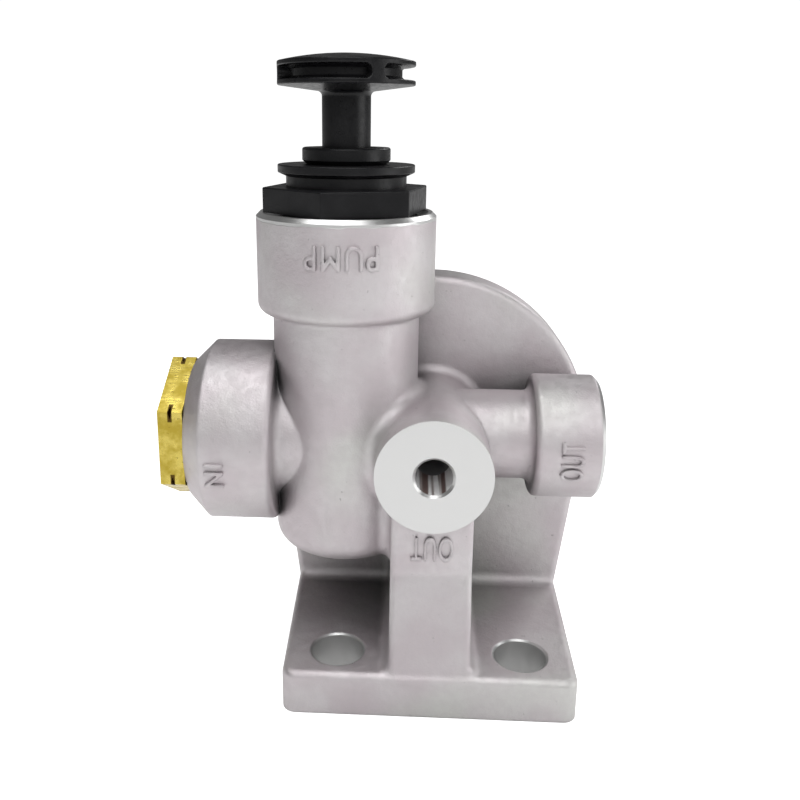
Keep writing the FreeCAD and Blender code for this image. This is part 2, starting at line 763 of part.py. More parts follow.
def round_knob(body):
    """Round ends on the slots, a fillet under the head and soft edges on its rim."""
    rim, stem = SIZES["knob_dia"] / 2, SIZES["stem_dia"] / 2

    def slot_end(edge):
        box = edge.BoundBox
        level = isinstance(edge.Curve, Part.Line) and box.ZLength < TOUCH
        return level and edge.Length > SIZES["slot_depth"] / 2

    ends = round_edges(body, "slot_ends", edges_where(body.Tip.Shape, slot_end), "slot_round")
    under = round_edges(body, "stem_fillet", top_circle(ends.Shape, stem), "stem_fillet")

    def on_rim(edge):
        points = [edge.valueAt(edge.FirstParameter), edge.valueAt(edge.LastParameter)]
        middle = edge.valueAt((edge.FirstParameter + edge.LastParameter) / 2)
        return all(same(math.hypot(p.x, p.y), rim) for p in points + [middle])

    round_edges(body, "rim_edges", edges_where(under.Shape, on_rim), "moulded_edge")


def add_dome(body):
    """The flat dome on the head: an arc centred on the knob's axis."""
    rim, top = "knob_dia / 2", f"({KNOB_FOOT} + rim_height)"
    half, rise = SIZES["knob_dia"] / 2, SIZES["dome_height"]
    level = body.Tip.Shape.BoundBox.ZMax
    radius = (half ** 2 + rise ** 2) / (2 * rise)
    centre = Vector(0, level + rise - radius, 0)
    sketch = make_sketch(body, "dome_outline", "XZ_Plane")
    start = math.asin((radius - rise) / radius)
    circle = Part.Circle(centre, Vector(0, 0, 1), radius)
    arc = sketch.addGeometry(Part.ArcOfCircle(circle, start, math.pi / 2), False)
    floor = sketch.addGeometry(Part.LineSegment(Vector(0, level, 0), Vector(half, level, 0)), False)
    axis = sketch.addGeometry(Part.LineSegment(Vector(0, level + rise, 0), Vector(0, level, 0)), False)
    sketch.addConstraint(Sketcher.Constraint("Coincident", arc, 2, axis, 1))
    sketch.addConstraint(Sketcher.Constraint("Coincident", axis, 2, floor, 1))
    sketch.addConstraint(Sketcher.Constraint("Coincident", floor, 2, arc, 1))
    sketch.addConstraint(Sketcher.Constraint("PointOnObject", arc, 3, -2))
    pin_point(sketch, floor, 1, "low", "0", top)
    pin_point(sketch, floor, 2, "rim", rim, top)
    pin_point(sketch, axis, 1, "peak", "0", f"{top} + dome_height")
    feature = body.newObject("PartDesign::Revolution", "dome")
    feature.Profile = sketch
    feature.ReferenceAxis = (sketch, ["V_Axis"])
    feature.Angle = 360
    doc.recompute()


def cut_slots(body):
    """The slot round the rim, in as many stretches as there are ribs across it."""
    inner = "(knob_dia / 2 - slot_depth)"
    low = f"({KNOB_FOOT} + (rim_height - slot_height) / 2)"
    high = f"({low} + slot_height)"
    curve = "slot_height / 4"
    slot = revolve(body, "rim_slot", [
        (f"{inner} + {curve}", low), ("knob_dia / 2 + tool_run", low), ("knob_dia / 2 + tool_run", high),
        (f"{inner} + {curve}", high), (inner, f"{high} - {curve}"), (inner, f"{low} + {curve}"),
    ], cut=True, angle="360 / slot_count - slot_rib")
    ring = body.newObject("PartDesign::PolarPattern", "rim_slots")
    ring.Originals = [slot]
    ring.Axis = (slot.Profile[0], ["V_Axis"])
    ring.Angle = 360
    ring.setExpression("Occurrences", bound("slot_count"))
    body.Tip = ring
    doc.recompute()


def make_piston():
    """Plastic piston, bored for the rod, with one seal groove."""
    side, rod = "(barrel_bore / 2 - running)", "(rod_dia / 2 + rod_gap)"
    groove = f"({side} - piston_seal_wire)"
    middle = f"({PISTON_TOP} - piston_height / 2)"
    wide = "(piston_seal_wire / 2 + running)"
    return turned_piece("piston", [
        (rod, PISTON_FOOT), (side, PISTON_FOOT), (side, f"{middle} - {wide}"), (groove, f"{middle} - {wide}"),
        (groove, f"{middle} + {wide}"), (side, f"{middle} + {wide}"), (side, PISTON_TOP), (rod, PISTON_TOP),
    ])


def make_rod():
    end = f"{NUT_FOOT} - rod_end"
    top = f"{PISTON_TOP} + rod_grip - rod_end"
    return turned_piece("plunger_rod", [
        ("0", end), ("rod_dia / 2", end), ("rod_dia / 2", top), ("0", top),
    ])


def make_washer():
    rod = "(rod_dia / 2 + rod_gap)"
    return turned_piece("piston_washer", [
        (rod, NUT_TOP), ("washer_dia / 2", NUT_TOP), ("washer_dia / 2", PISTON_FOOT), (rod, PISTON_FOOT),
    ])


def make_nut():
    body = make_body("piston_nut", "column_x", "column_y")
    add_hexagon(body, "nut_hexagon", "XY_Plane", "nut_flats", "nut_height", offset={"z": NUT_FOOT})
    bore = "(rod_dia / 2 + rod_gap)"
    revolve(body, "nut_bore", [
        ("0", NUT_FOOT), (bore, NUT_FOOT), (bore, NUT_TOP), ("0", NUT_TOP),
    ], cut=True)
    return body


def make_spring_cup():
    """Pressed ring between piston and spring, with a skirt that centres the coil."""
    inner = "(washer_dia / 2 + running * 4)"
    outer = "(barrel_bore / 2 - running * 8)"
    skirt = f"({outer} - cup_plate / 2)"
    plate = f"({PISTON_FOOT} - cup_plate)"
    return turned_piece("spring_cup", [
        (inner, PISTON_FOOT), (inner, plate), (skirt, plate), (skirt, f"{plate} - cup_skirt"),
        (outer, f"{plate} - cup_skirt"), (outer, PISTON_FOOT),
    ])


def make_pump():
    make_barrel()
    make_gland()
    make_wiper()
    make_knob()
    make_piston()
    make_rod()
    make_washer()
    make_nut()
    make_spring_cup()
    coil_top = f"({PISTON_FOOT} - cup_plate)"
    make_spring(
        "return_spring", "spring_coil", "spring_wire", "spring_turns", f"({coil_top} - {LIP_TOP})",
        "column_x", "column_y", f"{LIP_TOP} + spring_wire / 2",
    )
    make_torus(
        "barrel_oring", "spigot_dia / 2 + seal_wire / 2 + rod_gap", "seal_wire",
        "column_x", "column_y", "cup_face - seal_wire / 2 - rod_gap",
    )
    make_torus(
        "gland_oring", "stem_dia / 2 + rod_seal_wire / 2 + running / 2", "rod_seal_wire",
        "column_x", "column_y", f"{GLAND_FOOT} + mouth_depth / 2",
    )
    make_torus(
        "piston_oring", "barrel_bore / 2 - piston_seal_wire / 2 - running / 2", "piston_seal_wire",
        "column_x", "column_y", f"{PISTON_TOP} - piston_height / 2",
    )


# Inlet fitting and check valves


def make_inlet_fitting():
    """Brass hexagon with a turned notch across its corners, threaded spigot and valve seat."""
    body = make_body("inlet_fitting", "0", "column_y", "port_height")
    spigot = "inlet_thread / 2"
    add_hexagon(
        body, "brass_hexagon", "YZ_Plane", "brass_flats", "brass_height", "90",
        {"z": "inlet_end - brass_height"},
    )
    revolve(body, "brass_spigot", [
        ("inlet_end", "0"), ("inlet_end", spigot), (SEAT_PLANE, spigot), (SEAT_PLANE, "0"),
    ], "H_Axis")
    reach = "(brass_flats / 2 / cos(30))"
    middle = "(inlet_end - brass_height / 2)"
    revolve(body, "corner_notch", [
        (f"{middle} - notch_width / 2", f"{reach} + tool_run"), (f"{middle} - notch_width / 2", reach),
        (middle, f"{reach} - notch_depth"), (f"{middle} + notch_width / 2", reach),
        (f"{middle} + notch_width / 2", f"{reach} + tool_run"),
    ], "H_Axis", True)
    face, port, seat = "(inlet_end - brass_height)", "inlet_port / 2", "seat_bore / 2"
    revolve(body, "inlet_port", [
        (face, "0"), (face, f"{port} + port_bevel"), (f"{face} + port_bevel", port),
        (f"{face} + inlet_port_depth", port), (f"{face} + inlet_port_depth", seat),
        (SEAT_PLANE, seat), (SEAT_PLANE, "0"),
    ], "H_Axis", True)
    return body


def make_valves():
    """Both lift discs open towards +X and are held on their seats by light springs."""
    level = ("0", "column_y", "port_height")
    guide = "(valve_coil / 2 - valve_wire)"
    for side, seat, disc, coil in (
        ("inlet", SEAT_PLANE, "inlet_disc", "inlet_coil"),
        ("outlet", "gallery_end", "outlet_disc", "outlet_coil"),
    ):
        pip = guide.replace("valve_coil", coil)
        back = f"({seat} + disc_thick)"
        turned_piece(f"{side}_valve_disc", [
            (seat, "0"), (seat, f"{disc} / 2"), (back, f"{disc} / 2"), (back, pip),
            (f"{back} + valve_wire * 2", pip), (f"{back} + valve_wire * 2", "0"),
        ], *level, "H_Axis")
        stop = ROOM_END if side == "inlet" else "valve_stop"
        make_spring(
            f"{side}_valve_spring", coil, "valve_wire", "valve_turns", f"({stop} - {back})",
            f"{back} + valve_wire / 2", "column_y", "port_height", level=True,
        )
    turned_piece("outlet_valve_stop", [
        ("valve_stop", "stop_bore / 2"), ("valve_stop", "gallery_dia / 2"),
        ("valve_stop + stop_thick", "gallery_dia / 2"), ("valve_stop + stop_thick", "stop_bore / 2"),
    ], *level, "H_Axis")
    make_torus(
        "inlet_oring", "inlet_thread / 2 + seal_wire / 2 + rod_gap", "seal_wire",
        "inlet_end + seal_wire / 2 + rod_gap", "column_y", "port_height", level=True,
    )


PIECES = [
    "housing", "pump_barrel", "gland_cap", "wiper_ring", "knob", "piston", "plunger_rod",
    "piston_washer", "piston_nut", "spring_cup", "return_spring", "barrel_oring", "gland_oring",
    "piston_oring", "inlet_fitting", "inlet_oring", "inlet_valve_disc", "inlet_valve_spring",
    "outlet_valve_disc", "outlet_valve_spring", "outlet_valve_stop",
]


def write_pieces():
    """Checks every object, then writes one file for each piece."""
    for item in doc.Objects:
        if "Invalid" in item.State or "Error" in item.State:
            raise RuntimeError(f"{item.Name} did not rebuild: {item.State}")
    pieces = {label: doc.getObjectsByLabel(label)[0].Shape for label in PIECES}
    for label, shape in pieces.items():
        if shape.isNull() or not shape.isValid() or len(shape.Solids) != 1:
            raise RuntimeError(f"{label} is not one valid solid")
    os.makedirs("parts", exist_ok=True)
    for label, shape in pieces.items():
        shape.exportStep(f"parts/{label}.step")
        print(f"{label:20s} {shape.Volume / 1000:9.3f} cm3")


def main():
    make_sheet()
    make_housing()
    make_pump()
    make_inlet_fitting()
    make_valves()
    doc.recompute()
    write_pieces()


main()
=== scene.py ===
# %% [markdown]
# Hand primer pump, seen as in its photograph.
#
# The object is a small aluminium casting with a black plastic hand pump in its cup and a brass
# fitting in its left boss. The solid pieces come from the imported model, which this script loads
# as a fixed frame. What is made here is what a solid model leaves out: the finish of every
# surface, the raised letters of the casting, the threads in the ports, the light and the camera.

# %% Load the frame
import json
import math

import bpy
from mathutils import Matrix, Vector


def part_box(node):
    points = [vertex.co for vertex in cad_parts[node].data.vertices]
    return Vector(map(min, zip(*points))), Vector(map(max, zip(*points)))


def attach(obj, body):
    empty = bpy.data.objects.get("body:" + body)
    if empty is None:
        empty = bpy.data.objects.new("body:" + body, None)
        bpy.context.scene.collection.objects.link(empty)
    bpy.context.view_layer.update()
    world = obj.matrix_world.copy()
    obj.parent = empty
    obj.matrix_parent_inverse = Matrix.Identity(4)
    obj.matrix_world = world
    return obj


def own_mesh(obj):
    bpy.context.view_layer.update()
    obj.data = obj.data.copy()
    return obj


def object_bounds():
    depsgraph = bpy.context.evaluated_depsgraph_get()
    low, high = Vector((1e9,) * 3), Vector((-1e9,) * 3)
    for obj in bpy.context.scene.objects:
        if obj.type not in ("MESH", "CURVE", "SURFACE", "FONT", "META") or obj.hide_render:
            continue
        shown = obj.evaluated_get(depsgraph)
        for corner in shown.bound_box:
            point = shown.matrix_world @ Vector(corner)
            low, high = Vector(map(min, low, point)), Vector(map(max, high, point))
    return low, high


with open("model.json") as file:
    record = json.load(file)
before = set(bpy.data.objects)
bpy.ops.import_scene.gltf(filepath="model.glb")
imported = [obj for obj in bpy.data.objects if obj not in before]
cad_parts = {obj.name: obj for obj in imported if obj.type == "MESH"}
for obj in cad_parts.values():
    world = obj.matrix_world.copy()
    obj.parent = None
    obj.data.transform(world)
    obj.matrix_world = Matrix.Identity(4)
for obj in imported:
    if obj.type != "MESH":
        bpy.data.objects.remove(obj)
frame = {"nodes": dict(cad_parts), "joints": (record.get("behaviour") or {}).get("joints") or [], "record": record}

solid_low, solid_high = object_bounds()
MM = 0.001
print("solid model, mm:", [round(v / MM, 1) for v in (*solid_low, *solid_high)])

# %% [markdown]
# The frame also says where things are. The mounts give the axes of the ports, and the joint of
# the knob gives the upright axis of the pump. Reading them keeps every mask and every letter in
# place when the model changes, where typed numbers would stay behind.

# %% Read the axes from the record
mounts = {mount["name"]: mount for mount in frame["record"]["mounts"]}
joints = {joint["name"]: joint for joint in frame["joints"]}
port_axis = Vector(mounts["right_outlet"]["pos_m"])
front_axis = Vector(mounts["front_outlet"]["pos_m"])
pump_axis = Vector(joints["knob_turn"]["pos_m"])
bolt_reach = mounts["foot_bolts"]["dims"]["spacing_x_mm"] * MM / 2
port_mouth = port_axis.x + mounts["right_outlet"]["dims"]["length_mm"] * MM / 2 + 1 * MM
cup_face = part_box("housing")[1][2]
fitting_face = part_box("inlet_fitting")[0][0]
print("pump axis at", [round(v / MM, 1) for v in pump_axis[:2]], "mm")

# %% [markdown]
# Materials are built from nodes, and each one needs the same few steps. Short helpers do them:
# add a node and fill its inputs, do a sum, start a material with its surface shader, make a
# noise, spread a value over a range, mix two colours, and turn a height into a slope of the
# surface. Object coordinates are metres in the frame of the model, so a pattern has its real size
# and stays where it is in every view.

# %% Helpers for materials
def add(tree, kind, settings=None, **inputs):
    """One node. A socket given as an input is linked, anything else is set on the input."""
    made = tree.nodes.new("ShaderNode" + kind)
    for name, value in (settings or {}).items():
        setattr(made, name, value)
    for name, value in inputs.items():
        socket = made.inputs[name.replace("_", " ")]
        if isinstance(value, bpy.types.NodeSocket):
            tree.links.new(value, socket)
        else:
            socket.default_value = value
    return made


def calc(tree, operation, *values):
    """The result of one Math node on numbers or sockets."""
    made = tree.nodes.new("ShaderNodeMath")
    made.operation = operation
    for socket, value in zip(made.inputs, values):
        if isinstance(value, bpy.types.NodeSocket):
            tree.links.new(value, socket)
        else:
            socket.default_value = value
    return made.outputs[0]


def start_material(name, **shader_inputs):
    """A material with its shader set up, and the object coordinates as a socket."""
    material = bpy.data.materials.new(name)
    material.use_nodes = True
    tree = material.node_tree
    shader = tree.nodes["Principled BSDF"]
    for label, value in shader_inputs.items():
        shader.inputs[label.replace("_", " ")].default_value = value
    return material, tree, shader, add(tree, "TexCoord").outputs["Object"]


def noise(tree, where, size_mm, detail=2.0, roughness=0.5):
    """Noise whose blobs are about size_mm across."""
    return add(
        tree, "TexNoise", Vector=where, Scale=1 / (size_mm * MM), Detail=detail, Roughness=roughness
    ).outputs["Fac"]


def ramp(tree, value, low, high, low_out=0.0, high_out=1.0):
    """The value spread from low..high to low_out..high_out, held at its ends."""
    made = add(tree, "MapRange", {"interpolation_type": "SMOOTHSTEP"}, Value=value)
    limits = {"From Min": low, "From Max": high, "To Min": low_out, "To Max": high_out}
    for label, number in limits.items():
        made.inputs[label].default_value = number
    return made.outputs["Result"]


def tint(tree, factor, first, second):
    """A colour between two colours."""
    made = add(tree, "Mix", {"data_type": "RGBA"})
    sockets = made.inputs[0], made.inputs[6], made.inputs[7]
    for socket, value in zip(sockets, (factor, first, second)):
        if isinstance(value, bpy.types.NodeSocket):
            tree.links.new(value, socket)
        else:
            socket.default_value = value
    return made.outputs[2]


def bump(tree, height, depth_mm, normal=None):
    """A normal for a height that goes from 0 to 1 over depth_mm."""
    made = add(tree, "Bump", Height=height, Distance=depth_mm * MM, Strength=1.0)
    if normal is not None:
        tree.links.new(normal, made.inputs["Normal"])
    return made.outputs["Normal"]


# %% [markdown]
# The casting has two finishes. Most of it is as cast: satin grey, faintly mottled, with a fine
# grain and a few small pits. The faces that seal or seat something were cut afterwards: the front
# port's face and bore, the rim of the cup, the mouth of the right port, the bolt holes and the
# underside. They are brighter and smoother, with faint tool marks. In the front bore the colour
# is painted light: light and dark reflection streaks near the mouth, and painted shade further in.
#
# One material can hold both. A mask is 1 where a point lies on a cut face. It is worked out from
# the distance to the port axes and from the height, so its border falls exactly on the edge of
# the face, with no painting by hand.
#
# Two more things are added. Its edges are rounder than the solid model's, so the shading
# is softened over about a millimetre there. And its deep corners get painted shade: the colour
# goes darker where most of the open space round a point is shut off.

# %% Masks for the cut faces
EDGE = 0.06 * MM
BOSS_FACE, BOSS_FACE_RADIUS = -4.9 * MM, 14.3 * MM
FRONT_BORE_START = -4.3 * MM
CUP_BAND, CUP_BAND_WAVER = 0.9 * MM, 1.6 * MM
PORT_BEVEL, PORT_FACE_RADIUS = 0.95 * MM, 17 * MM
PORT_BORE_END = 20 * MM
BASE_TOP, UNDERSIDE = 11.2 * MM, 0.1 * MM


def below(tree, value, limit):
    """1 where the value is under the limit, 0 above it, with a hair of blend."""
    return ramp(tree, value, limit - EDGE, limit + EDGE, 1.0, 0.0)


def above(tree, value, limit):
    """1 where the value is over the limit, 0 below it."""
    return ramp(tree, value, limit - EDGE, limit + EDGE)


def ring_distance(tree, first, second, centre):
    """Distance from an axis, from the two coordinates that cross it."""
    a = calc(tree, "SUBTRACT", first, centre[0])
    b = calc(tree, "SUBTRACT", second, centre[1])
    squares = calc(tree, "MULTIPLY", a, a), calc(tree, "MULTIPLY", b, b)
    return calc(tree, "SQRT", calc(tree, "ADD", *squares))


def cut_faces(tree, where):
    """The mask of all cut faces, the mask of the front bore that gets painted streaks and painted shade, and the
    distance from its axis.
    """
    axes = add(tree, "SeparateXYZ", Vector=where).outputs
    x, y, z = axes[0], axes[1], axes[2]
    waver = calc(tree, "MULTIPLY", noise(tree, where, 7, 2), CUP_BAND_WAVER)
    from_front = ring_distance(tree, x, z, (front_axis.x, front_axis.z))
    from_port = ring_distance(tree, y, z, (port_axis.y, port_axis.z))
    from_bolt = ring_distance(tree, calc(tree, "ABSOLUTE", x), y, (bolt_reach, 0.0))
    front_bore = (mounts["front_outlet"]["dims"]["r_mm"] + 0.75) * MM
    port_bore = (mounts["right_outlet"]["dims"]["r_mm"] + 0.2) * MM
    bolt_bore = (mounts["foot_bolts"]["dims"]["hole_r_mm"] + 0.45) * MM
    boss_face = calc(
        tree, "MULTIPLY", below(tree, y, BOSS_FACE), below(tree, from_front, BOSS_FACE_RADIUS)
    )
    bore = calc(tree, "MULTIPLY", below(tree, from_front, front_bore), below(tree, y, port_axis.y))
    masks = [
        boss_face,
        bore,
        above(tree, calc(tree, "ADD", z, waver), cup_face - CUP_BAND),
        calc(
            tree, "MULTIPLY",
            above(tree, x, port_mouth - PORT_BEVEL), below(tree, from_port, PORT_FACE_RADIUS),
        ),
        calc(tree, "MULTIPLY", below(tree, from_port, port_bore), above(tree, x, PORT_BORE_END)),
        calc(tree, "MULTIPLY", below(tree, from_bolt, bolt_bore), below(tree, z, BASE_TOP)),
        below(tree, z, UNDERSIDE),
    ]
    total = masks[0]
    for mask in masks[1:]:
        total = calc(tree, "MAXIMUM", total, mask)
    inside = calc(tree, "MULTIPLY", bore, above(tree, y, FRONT_BORE_START))
    return total, inside, from_front


# %% Cast aluminium
CAST_LIGHT = (0.66, 0.63, 0.64, 1)
CAST_DARK = (0.60, 0.55, 0.57, 1)
CAST_GREEN = (0.63, 0.65, 0.61, 1)
PIT_COLOUR = (0.33, 0.32, 0.32, 1)
# Painted shade: the dark colour laid into deep corners, and further down how far round a point the corners are
# looked for.
PAINTED_SHADE_COLOUR = (0.07, 0.068, 0.07, 1)
CUT_COLOUR = (0.65, 0.65, 0.645, 1)
# Painted light in the front bore: dark and white reflection streaks.
PAINTED_REFLECTION_DARK, PAINTED_HIGHLIGHT = (0.20, 0.14, 0.13, 1), (1.0, 1.0, 1.0, 1)
# Painted shade further in the front bore, and the depths where it begins.
PAINTED_BORE_SHADE = (0.26, 0.26, 0.27, 1)
BORE_SHADE_FROM, BORE_SHADE_TO = 6.9 * MM, 7.4 * MM
PAINTED_SHADE_REACH = 45 * MM
CAST_SOFTENING, CUT_SOFTENING = 1.1 * MM, 0.12 * MM
TOOL_MARK_PITCH = 0.22 * MM
CAST_METAL, BORE_METAL = 0.88, 0.1
CUT_ROUGHNESS = 0.30


def cast_aluminium():
    """The casting: mottled and grainy as cast, brighter on cut faces, with painted reflection streaks and painted
    shade in the front bore, and painted shade in deep corners.
    """
    material, tree, shader, where = start_material("cast_aluminium_finish")
    cut, inside, from_front = cut_faces(tree, where)
    mottle = ramp(tree, noise(tree, where, 14, 3), 0.35, 0.65)
    skin = ramp(tree, noise(tree, where, 2.2, 4, 0.6), 0.3, 0.7)
    cast = tint(tree, mottle, CAST_DARK, CAST_LIGHT)
    cast = tint(tree, ramp(tree, noise(tree, where, 30, 1), 0.5, 0.7, 0, 0.6), cast, CAST_GREEN)
    cast = tint(tree, calc(tree, "MULTIPLY", skin, 0.25), cast, CAST_LIGHT)
    pits = ramp(tree, noise(tree, where, 1.3, 1), 0.755, 0.80)
    cast = tint(tree, calc(tree, "MULTIPLY", pits, 0.5), cast, PIT_COLOUR)
    # Painted highlights and reflections: light and dark streaks along the front bore.
    reflection_streaks = add(tree, "Mapping", Vector=where, Scale=(500, 8, 12)).outputs["Vector"]
    reflection_streaks = add(tree, "TexNoise", Vector=reflection_streaks, Scale=1.0, Detail=2.0).outputs["Fac"]
    bore_painted_light = tint(tree, ramp(tree, reflection_streaks, 0.42, 0.54), PAINTED_REFLECTION_DARK, PAINTED_HIGHLIGHT)
    # Painted shade deeper in the front bore.
    depth = add(tree, "SeparateXYZ", Vector=where).outputs[1]
    bore_painted_light = tint(tree, ramp(tree, depth, BORE_SHADE_FROM, BORE_SHADE_TO), bore_painted_light, PAINTED_BORE_SHADE)
    # Painted shade: the colour goes dark where the open space round a point is shut off.
    painted_shade_ao = add(tree, "AmbientOcclusion", {"samples": 6}, Distance=PAINTED_SHADE_REACH).outputs["AO"]
    cast = tint(tree, ramp(tree, painted_shade_ao, 0.05, 0.45), PAINTED_SHADE_COLOUR, cast)
    colour = tint(tree, inside, tint(tree, cut, cast, CUT_COLOUR), bore_painted_light)
    tree.links.new(colour, shader.inputs["Base Color"])
    tree.links.new(ramp(tree, inside, 0, 1, CAST_METAL, BORE_METAL), shader.inputs["Metallic"])
    cast_rough = ramp(tree, skin, 0, 1, 0.50, 0.60)
    rough = add(tree, "Mix", {"data_type": "FLOAT"})
    for socket, value in zip((rough.inputs[0], rough.inputs[2]), (cut, cast_rough)):
        tree.links.new(value, socket)
    rough.inputs[3].default_value = CUT_ROUGHNESS
    tree.links.new(rough.outputs[0], shader.inputs["Roughness"])
    grain = calc(tree, "ADD", noise(tree, where, 0.45, 3), calc(tree, "MULTIPLY", skin, 0.8))
    grain = calc(tree, "SUBTRACT", grain, calc(tree, "MULTIPLY", pits, 0.8))
    as_cast = calc(tree, "MULTIPLY", grain, calc(tree, "SUBTRACT", 1.0, cut))
    rings = calc(tree, "SINE", calc(tree, "MULTIPLY", from_front, math.tau / TOOL_MARK_PITCH))
    marks = calc(tree, "MULTIPLY", calc(tree, "MULTIPLY", rings, cut), 0.03)
    softening = ramp(tree, cut, 0, 1, CAST_SOFTENING, CUT_SOFTENING)
    round_off = add(tree, "Bevel", {"samples": 4}, Radius=softening)
    relief = calc(tree, "ADD", as_cast, marks)
    tree.links.new(bump(tree, relief, 0.05, round_off.outputs["Normal"]), shader.inputs["Normal"])
    return material


# %% [markdown]
# Brass, moulded plastic, rubber, zinc plated steel and nylon are simpler. Each still varies a
# little, because an even surface looks like a drawing: brass has blotches and fine milling
# lines, plastic has a faint orange peel, and steel has a brushed grain.

# %% The other finishes
HEXAGON_MIDDLE = fitting_face + 3.1 * MM
# The notches, which get painted shade, lie beyond this radius and this close to the middle.
NOTCH_RADIUS, NOTCH_HALF_WIDTH = 17.9 * MM, 0.55 * MM


def brass():
    """Blotched brass with painted shade in the notches across the corners of its hexagon."""
    material, tree, shader, where = start_material("brass_finish", Metallic=1.0)
    blotch = ramp(tree, noise(tree, where, 3.5, 4, 0.6), 0.35, 0.65)
    colour = tint(tree, blotch, (0.46, 0.345, 0.05, 1), (0.62, 0.50, 0.12, 1))
    specks = ramp(tree, noise(tree, where, 0.8, 2), 0.66, 0.74)
    axes = add(tree, "SeparateXYZ", Vector=where).outputs
    from_axis = ring_distance(tree, axes[1], axes[2], (port_axis.y, port_axis.z))
    corner = above(tree, from_axis, NOTCH_RADIUS)
    off_middle = calc(tree, "ABSOLUTE", calc(tree, "SUBTRACT", axes[0], HEXAGON_MIDDLE))
    notch_shade = calc(tree, "MULTIPLY", corner, below(tree, off_middle, NOTCH_HALF_WIDTH))
    colour = tint(tree, calc(tree, "MULTIPLY", specks, 0.7), colour, (0.22, 0.15, 0.03, 1))
    # Painted shade in the notches across the hexagon's corners.
    colour = tint(tree, notch_shade, colour, (0.10, 0.06, 0.015, 1))
    tree.links.new(colour, shader.inputs["Base Color"])
    tree.links.new(ramp(tree, blotch, 0, 1, 0.38, 0.26), shader.inputs["Roughness"])
    along = add(tree, "Mapping", Vector=where, Scale=(40, 400, 400)).outputs["Vector"]
    lines = add(tree, "TexNoise", Vector=along, Scale=6.0, Detail=3.0).outputs["Fac"]
    height = calc(tree, "SUBTRACT", lines, calc(tree, "MULTIPLY", specks, 0.6))
    tree.links.new(bump(tree, height, 0.03), shader.inputs["Normal"])
    return material


def plastic(name, colour, roughness):
    """Moulded plastic: an even colour, a soft sheen and a faint unevenness."""
    material, tree, shader, where = start_material(name, Metallic=0.0)
    shader.inputs["IOR"].default_value = 1.45
    shader.inputs["Specular IOR Level"].default_value = 0.3
    cloud = noise(tree, where, 6, 3)
    paler = tuple(min(1.0, 1.5 * v + 0.004) for v in colour) + (1,)
    mixed = tint(tree, ramp(tree, cloud, 0.3, 0.8), (*colour, 1), paler)
    tree.links.new(mixed, shader.inputs["Base Color"])
    sheen = ramp(tree, noise(tree, where, 1.6, 3), 0.3, 0.7, roughness - 0.05, roughness + 0.07)
    tree.links.new(sheen, shader.inputs["Roughness"])
    peel = calc(tree, "ADD", noise(tree, where, 0.35, 2), calc(tree, "MULTIPLY", cloud, 1.5))
    tree.links.new(bump(tree, peel, 0.02), shader.inputs["Normal"])
    return material


def plated_steel():
    """Zinc plated steel with a fine brushed grain."""
    material, tree, shader, where = start_material("plated_steel_finish", Metallic=1.0)
    grain = noise(tree, where, 0.5, 4, 0.6)
    colour = tint(tree, grain, (0.50, 0.51, 0.53, 1), (0.66, 0.66, 0.67, 1))
    tree.links.new(colour, shader.inputs["Base Color"])
    tree.links.new(ramp(tree, grain, 0.2, 0.8, 0.26, 0.38), shader.inputs["Roughness"])
    tree.links.new(bump(tree, grain, 0.02), shader.inputs["Normal"])
    return material


BLACK = (0.006, 0.006, 0.007)
finishes = {
    "cast_aluminium": cast_aluminium(),
    "brass": brass(),
    "black_plastic": plastic("barrel_plastic_finish", BLACK, 0.36),
    "gland_plastic": plastic("gland_plastic_finish", BLACK, 0.34),
    "knob_plastic": plastic("knob_plastic_finish", BLACK, 0.32),
    "seal_rubber": plastic("seal_rubber_finish", (0.012, 0.012, 0.012), 0.55),
    "plated_steel": plated_steel(),
    "valve_nylon": plastic("valve_nylon_finish", (0.72, 0.69, 0.60), 0.45),
}
print("finishes made:", ", ".join(finishes))

# %% Give each solid its finish
for row in frame["record"]["subparts"]:
    piece = frame["nodes"][row["node"]]
    piece.data.materials.clear()
    piece.data.materials.append(finishes[row["material_slot"]])
print(len(frame["nodes"]), "solids have their finish")

# %% [markdown]
# The words on the casting are raised letters from the mould. They mark the pump's cup, the inlet
# and both outlets. Text is the natural start, because Blender has a plain font of its own. It is
# made a solid, remeshed into small even cells and smoothed, which gives the soft edges of a
# casting. Small cells also let the word follow a round boss without kinks.
#
# Each word is then laid on its surface: a point's place along the word becomes an angle round
# the boss, and its height above the paper becomes a distance from the axis.

# %% Make a word as a soft raised solid
LETTER_RISE = 0.8
LETTER_ROOT = 0.5


def raised_word(name, text, long_mm, tall_mm):
    """A word lying flat, centred on the origin, with its top at LETTER_RISE. Millimetres."""
    bpy.ops.object.select_all(action="DESELECT")
    bpy.ops.object.text_add(location=(0, 0, 0))
    word = bpy.context.object
    word.name = name
    word.data.body = text
    word.data.extrude = 0.09
    word.data.offset, word.data.space_character = 0.014, 1.12
    word.data.align_x, word.data.align_y = "CENTER", "CENTER"
    bpy.ops.object.convert(target="MESH")
    word = bpy.context.object
    low = Vector(map(min, zip(*(v.co for v in word.data.vertices))))
    high = Vector(map(max, zip(*(v.co for v in word.data.vertices))))
    centre, size = (low + high) / 2, high - low
    deep = LETTER_RISE + LETTER_ROOT
    word.data.transform(Matrix.Translation(-centre))
    word.data.transform(Matrix.Diagonal((long_mm / size.x, tall_mm / size.y, deep / size.z, 1)))
    word.data.transform(Matrix.Translation((0, 0, (LETTER_RISE - LETTER_ROOT) / 2)))
    cells = word.modifiers.new("cells", "REMESH")
    cells.mode, cells.voxel_size = "VOXEL", 0.13
    soften = word.modifiers.new("soften", "SMOOTH")
    soften.factor, soften.iterations = 0.5, 2
    for modifier in ("cells", "soften"):
        bpy.ops.object.modifier_apply(modifier=modifier)
    bpy.ops.object.shade_smooth()
    return word


